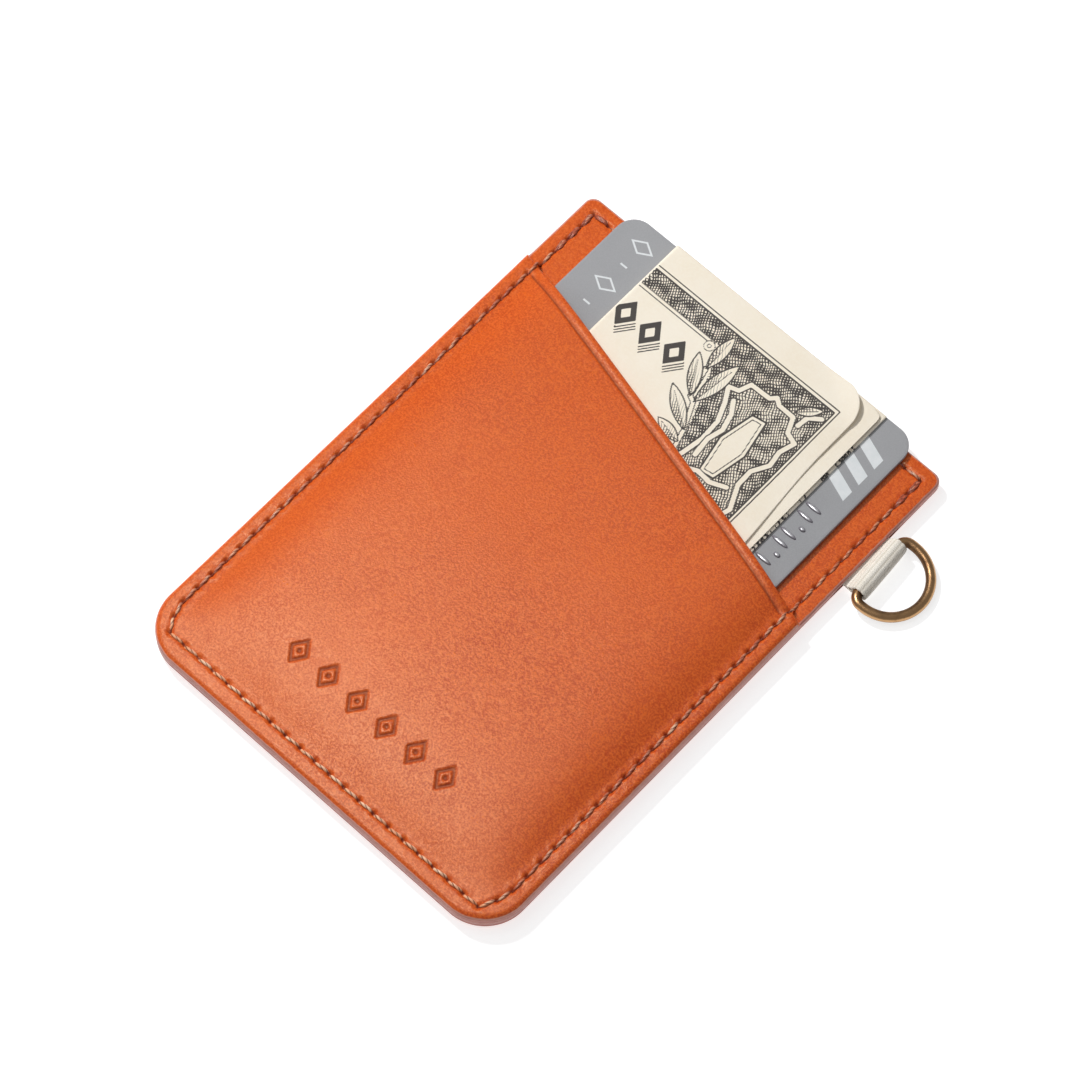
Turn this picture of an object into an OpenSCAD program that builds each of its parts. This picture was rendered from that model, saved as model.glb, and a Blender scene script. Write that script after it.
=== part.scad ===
// Slim card wallet: three leather panels sewn round their edges, a slanted front pocket,
// a folded webbing tab that holds a D-ring, and the card and the folded banknote it carries.
// It lies on its back. The origin is the middle of the back face, +Y points to the top edge
// and +Z points out of the front.

/* [Leather] */
// Width of the wallet, left edge to right edge
wallet_w = 66.5; // [64:0.5:72]
// Height of the wallet, bottom edge to top edge
wallet_h = 93; // [91:0.5:100]
// Thickness of each leather panel
leather_t = 1.15; // [1:0.05:1.4]
// Radius of the two bottom corners
bottom_r = 7; // [6:0.5:9]
// Radius of the two top corners
top_r = 2; // [1.5:0.5:3]

/* [Front pocket] */
// Height of the slanted mouth at the left edge, above the bottom edge
mouth_left = 79.3; // [76:0.1:83]
// Height of the slanted mouth at the right edge, above the bottom edge
mouth_right = 62.7; // [58:0.1:66]
// Width of the flat margin where the pocket is glued and sewn down
margin_w = 3.5; // [3.4:0.1:4]
// Clearance between the pocket's inside and what it holds
pocket_gap = 0.14; // [0.1:0.02:0.3]

/* [Seam] */
// Distance from the side and top edges to the seam
seam_inset = 2.3; // [2:0.1:2.8]
// Length from one needle hole to the next
stitch_pitch = 2.82; // [2.4:0.02:3.4]
// Diameter of the sewing thread, sunk flush in its groove
thread_d = 0.32; // [0.26:0.02:0.36]
// Angle of each stitch to the seam
stitch_slant = 6; // [0:1:12]

/* [Tab and ring] */
// Width of the webbing tape
tape_w = 9.6; // [9:0.1:9.8]
// Thickness of the webbing tape
tape_t = 0.7; // [0.5:0.05:0.75]
// Length of the tape's two ends sewn in between the panels
tape_tail = 8; // [6:0.5:12]
// Height of the middle of the tab above the wallet's bottom edge
tab_height = 76.6; // [74:0.1:80]
// Angle by which the tab is sewn in askew
tab_skew = 4; // [0:1:5]
// Diameter of the D-ring's wire
wire_d = 1.5; // [1.3:0.1:1.6]
// Outside height of the D-ring, along its bar
ring_h = 13.3; // [13.1:0.1:15]
// Outside width of the D-ring, across its bow
ring_w = 9.25; // [9:0.05:11]
// Distance from the wallet's right edge to the axis of the D-ring's bar
bar_out = 2.1; // [2:0.05:2.6]

/* [Card] */
// Long side of a standard bank card
card_l = 85.6; // [85.5:0.1:85.7]
// Short side of a standard bank card
card_w = 54; // [53.9:0.1:54.1]
// Thickness of a standard bank card
card_t = 0.76; // [0.68:0.02:0.84]
// Corner radius of a standard bank card
card_r = 3.18; // [2.88:0.1:3.48]
// Distance from the wallet's left edge to the card
card_left = 6.4; // [6:0.1:7]
// Distance from the wallet's bottom edge to the card, so that its end stands out of the top
card_bottom = 8.9; // [8:0.1:10]

/* [Banknote] */
// Length of the banknote before it is folded twice
note_l = 156; // [140:1:160]
// Width of the banknote, which stays whole
note_w = 66.3; // [60:0.1:68]
// Thickness of the folded pack of four leaves
note_t = 0.92; // [0.6:0.02:1]
// Distance from the wallet's left edge to the folded edge
note_left = 15; // [14:0.5:17]
// Distance from the wallet's bottom edge to the pack
note_bottom = 28.1; // [26:0.1:30]

/* [Hidden] */
$fn = 48;

// Where the panels lie, from the back face up
middle_z = leather_t;
pocket_z = 2 * leather_t;
flange_z = 3 * leather_t;

// The mouth is one straight slanting cut
mouth_slope = (mouth_right - mouth_left) / wallet_w;
function mouth_y(x) = mouth_left + mouth_slope * x;
past_mouth = 12;

// The seam, as corner points from the top left, down and round the bottom
seam_step = 4.8;
seam_corner = 1.85;
seam_bottom = 2.6;
seam_points = [
    [seam_inset, wallet_h - seam_inset],
    [seam_inset, seam_bottom + seam_step],
    [seam_inset + 0.6, seam_bottom + seam_step / 2],
    [seam_inset + seam_corner, seam_bottom + 0.3],
    [wallet_w - seam_inset - seam_corner, seam_bottom],
    [wallet_w - seam_inset - 0.6, seam_bottom + seam_step / 2],
    [wallet_w - seam_inset, seam_bottom + seam_step],
    [wallet_w - seam_inset, wallet_h - seam_inset]
];
thread_r = thread_d / 2;
groove_side = 0.4;
groove_depth = thread_d + 0.04;
stitch_fill = 0.76;

// The tape's ends are squeezed flat between the panels, in a hollow half in each
tail_t = 0.45;
tail_slack = 0.1;
tab_y = tab_height - wallet_h / 2;
wire_r = wire_d / 2;
wire_slack = 0.1;
loop_r = wire_r + wire_slack + tape_t;

// The D-ring's centre line: a bar, two tight corners, two short arms and a round bow
bar_z = loop_r + 0.08;
ring_half = (ring_h - wire_d) / 2;
ring_reach = ring_w - wire_d;
bend_r = 1.4;
bow_x = ring_reach - ring_half;
ring_floor_gap = 0.03;
ring_tilt = asin((bar_z - wire_r - ring_floor_gap) / ring_reach);

// The card rests on the middle panel, and the banknote on the card
rest_gap = 0.05;
card_z = pocket_z + rest_gap;
note_z = card_z + card_t + rest_gap;
note_fold_w = note_l / 4;
over_card_z = card_z + card_t + pocket_gap;
over_note_z = note_z + note_t + pocket_gap;
end_travel = 3.2;
skin = 0.04;

chip_size = [10, 12];
chip_from_end = 9.6;
chip_from_side = 18;
chip_t = 0.2;
stripe_from_side = 4.5;
stripe_w = 11;
strip_from_side = 19;
strip_size = [9.5, 66];

leather = [0.80, 0.36, 0.17];
thread = [0.66, 0.36, 0.22];
webbing = [0.90, 0.88, 0.80];
antique_brass = [0.45, 0.33, 0.17];
card_grey = [0.70, 0.71, 0.73];
contact_gold = [0.83, 0.66, 0.33];
stripe_black = [0.10, 0.09, 0.09];
strip_white = [0.93, 0.93, 0.90];
note_cream = [0.92, 0.89, 0.80];

// Moves the wallet's bottom left corner to its place, so that sizes are read from the edges
module from_corner() {
    translate([-wallet_w / 2, -wallet_h / 2, 0]) children();
}

// Places what is measured from the point on the right edge where the tab comes out, along the tab
module at_tab() {
    translate([wallet_w / 2, tab_y, 0]) rotate([0, 0, tab_skew]) children();
}

// A rectangle from (x, y) with its own radius at the bottom and at the top
module rounded_plate(x, y, w, h, r_bottom, r_top) {
    polygon([
        [x + r_bottom, y], [x + w - r_bottom, y], [x + w, y + r_bottom], [x + w, y + h - r_top],
        [x + w - r_top, y + h], [x + r_top, y + h], [x, y + h - r_top], [x, y + r_bottom]
    ]);
    for (side = [0, 1]) {
        translate([x + r_bottom + side * (w - 2 * r_bottom), y + r_bottom]) circle(r_bottom);
        translate([x + r_top + side * (w - 2 * r_top), y + h - r_top]) circle(r_top);
    }
}

module wallet_outline() {
    rounded_plate(0, 0, wallet_w, wallet_h, bottom_r, top_r);
}

// Everything below the slanted mouth, moved up by lift
module below_mouth(lift = 0) {
    polygon([
        [-1, -1], [wallet_w + 1, -1],
        [wallet_w + 1, mouth_y(wallet_w + 1) + lift], [-1, mouth_y(-1) + lift]
    ]);
}

// The shallow groove that the seam is pressed into
module seam_groove(z) {
    translate([0, 0, z]) linear_extrude(groove_depth + 1) difference() {
        offset(delta = groove_side) polygon(seam_points);
        offset(delta = -groove_side) polygon(seam_points);
    }
}

// The hollow for the tape's ends, with half of its height in each panel
module tape_hollow() {
    at_tab() translate([-tape_tail - tail_slack, -tape_w / 2 - tail_slack, middle_z - tail_t])
        cube([tape_tail + tail_slack + 1, tape_w + 2 * tail_slack, 2 * tail_t]);
}

// One stitch for each pitch of each straight run; level 0 is the back, 1 is the front
module stitch_row(front) {
    count = len(seam_points);
    for (i = [0 : count - 1]) {
        a = seam_points[i];
        b = seam_points[(i + 1) % count];
        run = norm(b - a);
        n = round(run / stitch_pitch);
        for (k = [0 : n - 1]) {
            middle = a + (b - a) * (k + 0.5) / n;
            top = middle[1] < mouth_y(middle[0]) ? flange_z : pocket_z;
            z = front ? top - thread_r : thread_r;
            turn = atan2(b[1] - a[1], b[0] - a[0]) + stitch_slant;
            translate([middle[0], middle[1], z]) rotate([0, 90, turn])
                cylinder(h = run / n * stitch_fill, r = thread_r, center = true, $fn = 16);
        }
    }
}

// The space under the pocket: a glued margin, then a rise over the card and another over the note
module pocket_space(lift) {
    inner_w = wallet_w - 2 * margin_w;
    inner_h = wallet_h - margin_w + past_mouth;
    card_y = card_bottom - end_travel;
    hull() {
        translate([0, 0, lift]) linear_extrude(0.01)
            rounded_plate(margin_w, margin_w, inner_w, inner_h, bottom_r - margin_w, 1, $fn = 32);
        translate([0, 0, over_card_z - pocket_z + lift]) linear_extrude(0.01)
            rounded_plate(card_left - pocket_gap, card_y, card_w + 2 * pocket_gap,
                          inner_h - card_y, card_r, 1, $fn = 32);
        translate([0, 0, over_note_z - pocket_z + lift]) linear_extrude(0.01)
            rounded_plate(note_left - pocket_gap, note_bottom - pocket_gap,
                          note_fold_w + 2 * pocket_gap, inner_h - note_bottom, 3, 1, $fn = 32);
    }
}

module back_panel() {
    color(leather) difference() {
        from_corner() linear_extrude(leather_t) wallet_outline();
        from_corner() seam_groove(-1);
        tape_hollow();
    }
}

module middle_panel() {
    color(leather) difference() {
        from_corner() translate([0, 0, middle_z]) linear_extrude(leather_t) wallet_outline();
        from_corner() difference() {
            seam_groove(pocket_z - groove_depth);
            linear_extrude(pocket_z + 1) below_mouth(-stitch_pitch);
        }
        tape_hollow();
    }
}

module front_pocket() {
    color(leather) from_corner() difference() {
        union() {
            translate([0, 0, pocket_z]) linear_extrude(leather_t) intersection() {
                wallet_outline();
                below_mouth();
            }
            intersection() {
                pocket_space(flange_z);
                linear_extrude(flange_z + 10) below_mouth();
            }
        }
        pocket_space(pocket_z);
        seam_groove(flange_z - groove_depth);
    }
}

module needle_thread() {
    color(thread) from_corner() stitch_row(true);
}

module bobbin_thread() {
    color(thread) from_corner() stitch_row(false);
}

// The tape goes out between the panels, round the bar and back
module webbing_tab() {
    clear_of_edge = tape_w / 2 * sin(tab_skew);
    color(webbing) at_tab() translate([0, tape_w / 2, 0]) rotate([90, 0, 0]) linear_extrude(tape_w) {
        translate([-tape_tail, middle_z - tail_t])
            square([tape_tail + clear_of_edge, 2 * tail_t]);
        difference() {
            hull() {
                translate([bar_out, bar_z]) circle(loop_r);
                translate([clear_of_edge, middle_z - tail_t]) square([0.05, 2 * tail_t]);
            }
            translate([bar_out, bar_z]) circle(wire_r + wire_slack);
        }
    }
}

module d_ring() {
    color(antique_brass) at_tab() translate([bar_out, 0, bar_z]) rotate([0, ring_tilt, 0]) {
        rotate([90, 0, 0]) cylinder(h = 2 * (ring_half - bend_r), r = wire_r, center = true);
        for (side = [0, 1]) mirror([0, side, 0]) {
            translate([bend_r, ring_half - bend_r, 0]) rotate([0, 0, 90])
                rotate_extrude(angle = 90) translate([bend_r, 0]) circle(wire_r);
            translate([bend_r, ring_half, 0]) rotate([0, 90, 0])
                cylinder(h = bow_x - bend_r, r = wire_r);
        }
        translate([bow_x, 0, 0]) rotate([0, 0, -90])
            rotate_extrude(angle = 180) translate([ring_half, 0]) circle(wire_r);
    }
}

// Places what is measured from the card's own lower left corner
module on_card() {
    from_corner() translate([card_left, card_bottom, card_z]) children();
}

module chip_block(grow) {
    translate([chip_from_side - grow, chip_from_end - grow, card_t - chip_t])
        linear_extrude(chip_t + grow)
            rounded_plate(0, 0, chip_size[0] + 2 * grow, chip_size[1] + 2 * grow, 1.5, 1.5);
}

module stripe_block(grow) {
    translate([stripe_from_side - grow, -grow, -grow])
        cube([stripe_w + 2 * grow, card_l + 2 * grow, skin + grow]);
}

module signature_block(grow) {
    translate([strip_from_side - grow, (card_l - strip_size[1]) / 2 - grow, -grow])
        cube([strip_size[0] + 2 * grow, strip_size[1] + 2 * grow, skin + grow]);
}

module card_core() {
    color(card_grey) on_card() difference() {
        linear_extrude(card_t) rounded_plate(0, 0, card_w, card_l, card_r, card_r);
        chip_block(0.02);
        stripe_block(0.02);
        signature_block(0.02);
    }
}

module card_chip() {
    color(contact_gold) on_card() chip_block(0);
}

module card_stripe() {
    color(stripe_black) on_card() stripe_block(0);
}

module card_signature_strip() {
    color(strip_white) on_card() signature_block(0);
}

// Two folds make four leaves: the lower pair ends in a fold on the right, a little past the
// two free ends of the upper pair
module banknote() {
    free_end_set_back = 1.3;
    color(note_cream) from_corner() translate([note_left, note_bottom, note_z]) {
        cube([note_fold_w, note_w, note_t / 2]);
        translate([0, 0, note_t / 2])
            linear_extrude(note_t / 2)
                rounded_plate(0, 0, note_fold_w - free_end_set_back, note_w, 0.5, 2.5);
    }
}

back_panel();
middle_panel();
front_pocket();
needle_thread();
bobbin_thread();
webbing_tab();
d_ring();
card_core();
card_chip();
card_stripe();
card_signature_strip();
banknote();
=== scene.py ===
import math

import bpy
import numpy as np
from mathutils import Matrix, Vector


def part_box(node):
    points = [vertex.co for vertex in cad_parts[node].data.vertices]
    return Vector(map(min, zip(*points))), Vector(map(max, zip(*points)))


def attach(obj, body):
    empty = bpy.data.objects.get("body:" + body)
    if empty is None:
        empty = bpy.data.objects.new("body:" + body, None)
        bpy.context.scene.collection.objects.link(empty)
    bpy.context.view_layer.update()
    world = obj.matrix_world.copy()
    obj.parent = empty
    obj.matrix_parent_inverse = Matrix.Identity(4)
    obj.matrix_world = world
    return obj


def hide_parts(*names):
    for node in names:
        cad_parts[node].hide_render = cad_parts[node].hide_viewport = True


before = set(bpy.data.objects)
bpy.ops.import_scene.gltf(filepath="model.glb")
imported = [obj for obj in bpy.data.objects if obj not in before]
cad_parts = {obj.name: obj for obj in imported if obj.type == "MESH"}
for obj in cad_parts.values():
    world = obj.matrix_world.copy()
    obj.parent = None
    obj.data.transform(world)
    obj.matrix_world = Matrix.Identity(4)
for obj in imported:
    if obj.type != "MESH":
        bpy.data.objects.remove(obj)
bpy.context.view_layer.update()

# ---- Camera ---------------------------------------------------------------------------------
# A long lens looks down on the wallet from beyond its lower right corner, so that the wallet
# lies as a lozenge with its card end to the upper right.
camera_turn = math.radians(42.885)
camera_rise = math.radians(65.67)
camera_distance = 0.62578
camera_target = Vector((-0.0024, 0.00216, 0))
towards_camera = Vector((math.sin(camera_turn) * math.cos(camera_rise),
                         -math.cos(camera_turn) * math.cos(camera_rise),
                         math.sin(camera_rise)))
camera = bpy.data.objects.new("camera", bpy.data.cameras.new("camera"))
camera.data.lens = 150
camera.data.sensor_width = 36
camera.data.clip_start = 0.01
camera.location = camera_target + camera_distance * towards_camera
camera.rotation_euler = (-towards_camera).to_track_quat("-Z", "Y").to_euler()
bpy.context.scene.collection.objects.link(camera)
bpy.context.scene.camera = camera
bpy.context.scene.view_settings.view_transform = "Standard"

# ---- Light and floor ------------------------------------------------------------------------
# A small lamp far beyond the left edge throws crisp shadows to the right. A broad soft box and
# white surroundings fill them, and a near lamp is only there to be mirrored as the leather's
# sheen. The floor is a white sheet that is lit through from below.


def soft_box(name, place, size, power):
    """A square lamp at place, turned to the wallet's middle."""
    lamp = bpy.data.lights.new(name, "AREA")
    lamp.shape = "SQUARE"
    lamp.size, lamp.energy = size, power
    stand = bpy.data.objects.new(name, lamp)
    stand.location = place
    stand.rotation_euler = (-Vector(place)).to_track_quat("-Z", "Y").to_euler()
    bpy.context.scene.collection.objects.link(stand)
    return stand


key_light = soft_box("key_light", (-0.48, 0.10, 0.53), 0.055, 3.9)
key_light.visible_glossy = False
soft_box("fill_light", (-0.165, -0.085, 0.44), 0.30, 0.34)
sheen_light = soft_box("sheen_light", (-0.066, -0.022, 0.22), 0.06, 0.29)
sheen_light.visible_diffuse = False

world = bpy.data.worlds.new("studio")
world.use_nodes = True
surroundings = world.node_tree.nodes["Background"].inputs
surroundings["Color"].default_value = (0.97, 0.98, 1, 1)
surroundings["Strength"].default_value = 0.26
bpy.context.scene.world = world


class Wire:
    """A socket of a material's node tree: arithmetic on it adds Math nodes."""

    def __init__(self, tree, socket=None):
        self.tree = tree
        self.socket = socket

    def node(self, kind, settings=None, feeds=None, output=0):
        """Adds one node, sets it up, feeds its sockets with values or wires and gives an output."""
        made = self.tree.nodes.new("ShaderNode" + kind)
        for key, setting in (settings or {}).items():
            setattr(made, key, setting)
        for key, feed in (feeds or {}).items():
            if isinstance(feed, Wire):
                self.tree.links.new(feed.socket, made.inputs[key])
            else:
                made.inputs[key].default_value = feed
        return Wire(self.tree, made.outputs[output])

    def maths(self, operation, *others):
        """A Math node on this and the others."""
        return self.node("Math", {"operation": operation}, dict(enumerate((self, *others))))

    def __add__(self, other):
        return self.maths("ADD", other)

    def __mul__(self, other):
        return self.maths("MULTIPLY", other)

    def __sub__(self, other):
        return self.maths("SUBTRACT", other)

    def __rsub__(self, other):
        return (self * -1).maths("ADD", other)

    __radd__ = __add__
    __rmul__ = __mul__

    def between(self, low, high):
        """0 below low, 1 above high, and smooth in between."""
        limits = {"Value": self, "From Min": low, "From Max": high}
        return self.node("MapRange", {"interpolation_type": "SMOOTHSTEP"}, limits)

    def mixed(self, colour_a, colour_b):
        """Colour a where this is 0 and colour b where it is 1."""
        feeds = {0: self, 6: tint(colour_a), 7: tint(colour_b)}
        return self.node("Mix", {"data_type": "RGBA"}, feeds, 2)

    def here(self):
        """Object coordinates, in metres: a place on the finished object."""
        return self.node("TexCoord", None, None, "Object")

    def kept(self, layer):
        """A number that the mesh keeps on each of its points under that name."""
        return self.node("Attribute", {"attribute_name": layer}, None, "Fac")

    def noise(self, scale, detail=2.0, roughness=0.5):
        """Cloudy noise of about 1 / scale metres, read at this vector."""
        feeds = {"Vector": self, "Scale": scale, "Detail": detail, "Roughness": roughness}
        return self.node("TexNoise", None, feeds)


def tint(colour):
    """A colour as a socket wants it: wires pass, and three numbers gain their alpha."""
    return colour if isinstance(colour, Wire) else (*colour, 1)


def finish(name, **sockets):
    """A Principled material with those fixed sockets, and its tree as a Wire to draw from."""
    material = bpy.data.materials.new(name)
    material.use_nodes = True
    shader = material.node_tree.nodes["Principled BSDF"]
    for key, setting in sockets.items():
        shader.inputs[key.replace("_", " ")].default_value = setting
    return material, Wire(material.node_tree), shader


def feed(shader, key, wire):
    """Leads a wire to one of the shader's sockets."""
    wire.tree.links.new(wire.socket, shader.inputs[key])


def bumped(shader, height, distance):
    """Leads a height, in shares of distance in metres, to the shader's normal."""
    feed(shader, "Normal", height.node("Bump", None, {"Height": height, "Distance": distance}))


floor_finish = finish("white_sheet", Roughness=0.9, Base_Color=(0.50, 0.50, 0.50, 1),
                      Emission_Color=(1, 1, 1, 1), Emission_Strength=0.72)[0]
floor_reach = 3.0
floor_corners = np.array([(-1, -1, 0), (1, -1, 0), (1, 1, 0), (-1, 1, 0)]) * floor_reach
sheet_mesh = bpy.data.meshes.new("floor")
sheet_mesh.from_pydata(floor_corners, [], [(0, 1, 2, 3)])
sheet_mesh.materials.append(floor_finish)
floor = bpy.data.objects.new("floor", sheet_mesh)
bpy.context.scene.collection.objects.link(floor)

# ---- Leather panels -------------------------------------------------------------------------
# Three pieces of smooth vegetable-tanned leather, each a little over a millimetre thick, lie on
# each other and are sewn together round the edge. The front one is the pocket: it is cut off on
# a slant, and card and banknote have pressed a soft bulge into it. Lengths here are in
# millimetres, measured from the wallet's lower left corner, as a leather worker lays them out.
low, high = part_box("back_panel")
width, height = 1000 * (high.x - low.x), 1000 * (high.y - low.y)
skin = 1000 * (high.z - low.z)
bottom_radius, top_radius = 7.0, 1.5
mouth_left, mouth_right = 79.3, 62.7
mouth_fall = (mouth_right - mouth_left) / width
mouth_cos = 1 / math.hypot(1, mouth_fall)
seam_inset, seam_foot = 2.3, 2.6
stitch_pitch = 2.82
soft_edge, cut_edge, glued_edge = 0.85, 0.42, 0.08
far_from_edge = 6.0


def laid_out(corner):
    """A corner of a CAD box, in metres round the wallet's middle, in these millimetres."""
    return 1000 * corner.x + width / 2, 1000 * corner.y + height / 2, 1000 * corner.z


def mouth_at(x):
    """Height of the slanted cut at x, a straight line."""
    return mouth_left + mouth_fall * x


def below_mouth(x, y):
    """Distance to the slanted cut, square to it and positive on the pocket's side."""
    return (mouth_at(x) - y) * mouth_cos


def smooth(x, low_end, high_end):
    """0 below low_end and 1 above high_end, by 3t^2 - 2t^3 in between."""
    t = np.clip((x - low_end) / (high_end - low_end), 0, 1)
    return t * t * (3 - 2 * t)


def level(value):
    """A flat surface at that height, or a number that is the same all over."""
    return lambda x, y: np.full(np.shape(x), value)


def along(pieces, shares):
    """Points at shares of the length of a path. A piece is a straight line (start, end), or an
    arc (centre, radius, first angle, last angle); each covers its own length of the path."""
    lengths = np.array([np.hypot(*np.subtract(p[1], p[0])) if len(p) == 2
                        else p[1] * abs(p[3] - p[2]) for p in pieces])
    ends = np.cumsum(lengths)
    walked = np.asarray(shares) * ends[-1]
    points = np.zeros((len(walked), 2))
    for piece, length, end in zip(pieces, lengths, ends):
        t = ((walked - (end - length)) / max(length, 1e-9))[:, None]
        here = (t[:, 0] >= -1e-9) & (t[:, 0] <= 1 + 1e-9)
        if len(piece) == 2:
            run = np.asarray(piece[0]) * (1 - t) + np.asarray(piece[1]) * t
        else:
            centre, radius, first, last = piece
            turn = first + (last - first) * t[:, 0]
            run = np.asarray(centre) + radius * np.stack([np.cos(turn), np.sin(turn)], 1)
        points[here] = run[here]
    return points


def graded(*stretches):
    """Shares from 0 to 1 with its own number of steps in each stretch: (start, steps), ..."""
    starts = [s[0] for s in stretches] + [1.0]
    runs = [np.linspace(starts[i], starts[i + 1], steps, endpoint=False)
            for i, (_, steps) in enumerate(stretches)]
    return np.append(np.concatenate(runs), 1.0)


def panel_sides(us, vs, inset, slanted):
    """Bottom, right, top and left side of a panel's outline moved inwards by inset. The outline is
    a rectangle with round corners, cut off along the mouth if it is slanted."""
    x0, y0, x1 = inset, inset, width - inset
    r = max(bottom_radius - 0.75 * inset, 2.4)
    q = 0.25 * math.pi
    lower_left, lower_right = (x0 + r, y0 + r), (x1 - r, y0 + r)
    bottom = along([(lower_left, r, -3 * q, -2 * q), ((x0 + r, y0), (x1 - r, y0)),
                    (lower_right, r, -2 * q, -q)], us)
    if slanted:
        left_end = (x0, mouth_at(x0) - inset / mouth_cos)
        right_end = (x1, mouth_at(x1) - inset / mouth_cos)
        top = along([(left_end, right_end)], us)
        right = along([(lower_right, r, -q, 0), ((x1, y0 + r), right_end)], vs)
        left = along([(lower_left, r, 5 * q, 4 * q), ((x0, y0 + r), left_end)], vs)
    else:
        y1 = height - inset
        s = max(top_radius - 0.3 * inset, 1.0)
        upper_left, upper_right = (x0 + s, y1 - s), (x1 - s, y1 - s)
        top = along([(upper_left, s, 3 * q, 2 * q), ((x0 + s, y1), (x1 - s, y1)),
                     (upper_right, s, 2 * q, q)], us)
        right = along([(lower_right, r, -q, 0), ((x1, y0 + r), (x1, y1 - s)),
                       (upper_right, s, 0, q)], vs)
        left = along([(lower_left, r, 5 * q, 4 * q), ((x0, y0 + r), (x0, y1 - s)),
                      (upper_left, s, 4 * q, 3 * q)], vs)
    return bottom, right, top, left


def ring_of(sides):
    """The four sides as one closed ring, anticlockwise from the lower left corner."""
    bottom, right, top, left = sides
    return np.concatenate([bottom[:-1], right[:-1], top[::-1][:-1], left[::-1][:-1]])


def patch_of(sides, us, vs):
    """The inside of four sides: the blend of opposite sides, less the blend of the corners."""
    bottom, right, top, left = sides
    u, v = us[None, :, None], vs[:, None, None]
    across = (1 - v) * bottom[None] + v * top[None]
    up = (1 - u) * left[:, None] + u * right[:, None]
    corners = ((1 - u) * (1 - v) * bottom[0] + u * (1 - v) * bottom[-1]
               + (1 - u) * v * top[0] + u * v * top[-1])
    return across + up - corners


def ring_numbers(first, nu, nv, count):
    """Numbers of a patch's points, where the outer ones are the ring's, from first on, and the
    inner ones are new, from count on."""
    numbers = np.empty((nv, nu), int)
    inner = np.arange((nu - 2) * (nv - 2)).reshape(nv - 2, nu - 2)
    numbers[1:-1, 1:-1] = count + inner
    whole = 2 * (nu - 1) + 2 * (nv - 1)
    numbers[0, :] = np.arange(nu)
    numbers[:, -1] = nu - 1 + np.arange(nv)
    numbers[-1, ::-1] = nu + nv - 2 + np.arange(nu)
    numbers[::-1, 0] = (2 * nu + nv - 3 + np.arange(nv)) % whole
    numbers[0, :], numbers[-1, :] = numbers[0, :] + first, numbers[-1, :] + first
    numbers[1:-1, 0], numbers[1:-1, -1] = numbers[1:-1, 0] + first, numbers[1:-1, -1] + first
    return numbers


def quads_of(numbers):
    """The four-sided faces of a grid of point numbers."""
    a, b, c, d = numbers[:-1, :-1], numbers[:-1, 1:], numbers[1:, 1:], numbers[1:, :-1]
    return np.stack([a, b, c, d], -1).reshape(-1, 4)


def piece(name, points, faces, material, layers=None, smooth_faces=True):
    """A new object of those points, in millimetres from the wallet's lower left corner, and
    faces; layers are numbers kept on each point for the material to read."""
    place = (np.asarray(points, float) - (width / 2, height / 2, 0)) * 0.001
    mesh = bpy.data.meshes.new(name)
    faces = [np.asarray(f) for f in faces]
    sizes = np.concatenate([np.full(len(f), f.shape[1]) for f in faces])
    corners = np.concatenate([f.ravel() for f in faces]).astype(np.int32)
    mesh.vertices.add(len(place))
    mesh.vertices.foreach_set("co", place.astype(np.float32).ravel())
    mesh.loops.add(len(corners))
    mesh.loops.foreach_set("vertex_index", corners)
    mesh.polygons.add(len(sizes))
    starts = np.concatenate([[0], np.cumsum(sizes)[:-1]]).astype(np.int32)
    mesh.polygons.foreach_set("loop_start", starts)
    mesh.polygons.foreach_set("use_smooth", np.full(len(sizes), smooth_faces))
    mesh.update(calc_edges=True)
    mesh.validate()
    for key, values in (layers or {}).items():
        layer = mesh.attributes.new(key, "FLOAT", "POINT")
        layer.data.foreach_set("value", np.asarray(values, np.float32).ravel())
    mesh.materials.append(material)
    made = bpy.data.objects.new(name, mesh)
    bpy.context.scene.collection.objects.link(made)
    return made


seam_right, seam_top = width - seam_inset, height - seam_inset
seam_corners = np.array([
    [seam_inset, seam_top], [seam_inset, 7.4], [seam_inset + 0.6, 5.0], [seam_inset + 1.85, 2.9],
    [seam_right - 1.85, seam_foot], [seam_right - 0.6, 5.0], [seam_right, 7.4],
    [seam_right, seam_top]])


def needle_holes():
    """Where the needle went through: each straight run of the seam in equal steps."""
    ends = np.roll(seam_corners, -1, axis=0)
    runs = []
    for start, end in zip(seam_corners, ends):
        steps = round(np.hypot(*(end - start)) / stitch_pitch)
        runs.append(start + (end - start) * np.linspace(0, 1, steps, endpoint=False)[:, None])
    return np.concatenate(runs)


holes = needle_holes()


def from_line(x, y, *corners):
    """Least distance to a line through those corners: to each straight run, the distance to its
    nearest point, a + t (b - a) with t = (p - a).(b - a) / |b - a|^2 kept within 0 to 1."""
    nearest = np.full(np.shape(x), 99.0)
    for (ax, ay), (bx, by) in zip(corners[:-1], corners[1:]):
        t = np.clip(((x - ax) * (bx - ax) + (y - ay) * (by - ay))
                    / ((bx - ax) ** 2 + (by - ay) ** 2), 0, 1)
        nearest = np.minimum(nearest, np.hypot(x - ax - t * (bx - ax), y - ay - t * (by - ay)))
    return nearest


def from_seam(x, y):
    """Distance to the seam line, which is closed."""
    return from_line(x, y, *seam_corners, seam_corners[0])


def from_hole(x, y):
    """Distance to the nearest needle hole, worked out only near the seam."""
    distance = np.full(np.shape(x), 9.0)
    near = from_seam(x, y) < 1.6
    spread = np.hypot(x[near][:, None] - holes[:, 0], y[near][:, None] - holes[:, 1])
    distance[near] = spread.min(1)
    return distance


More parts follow.
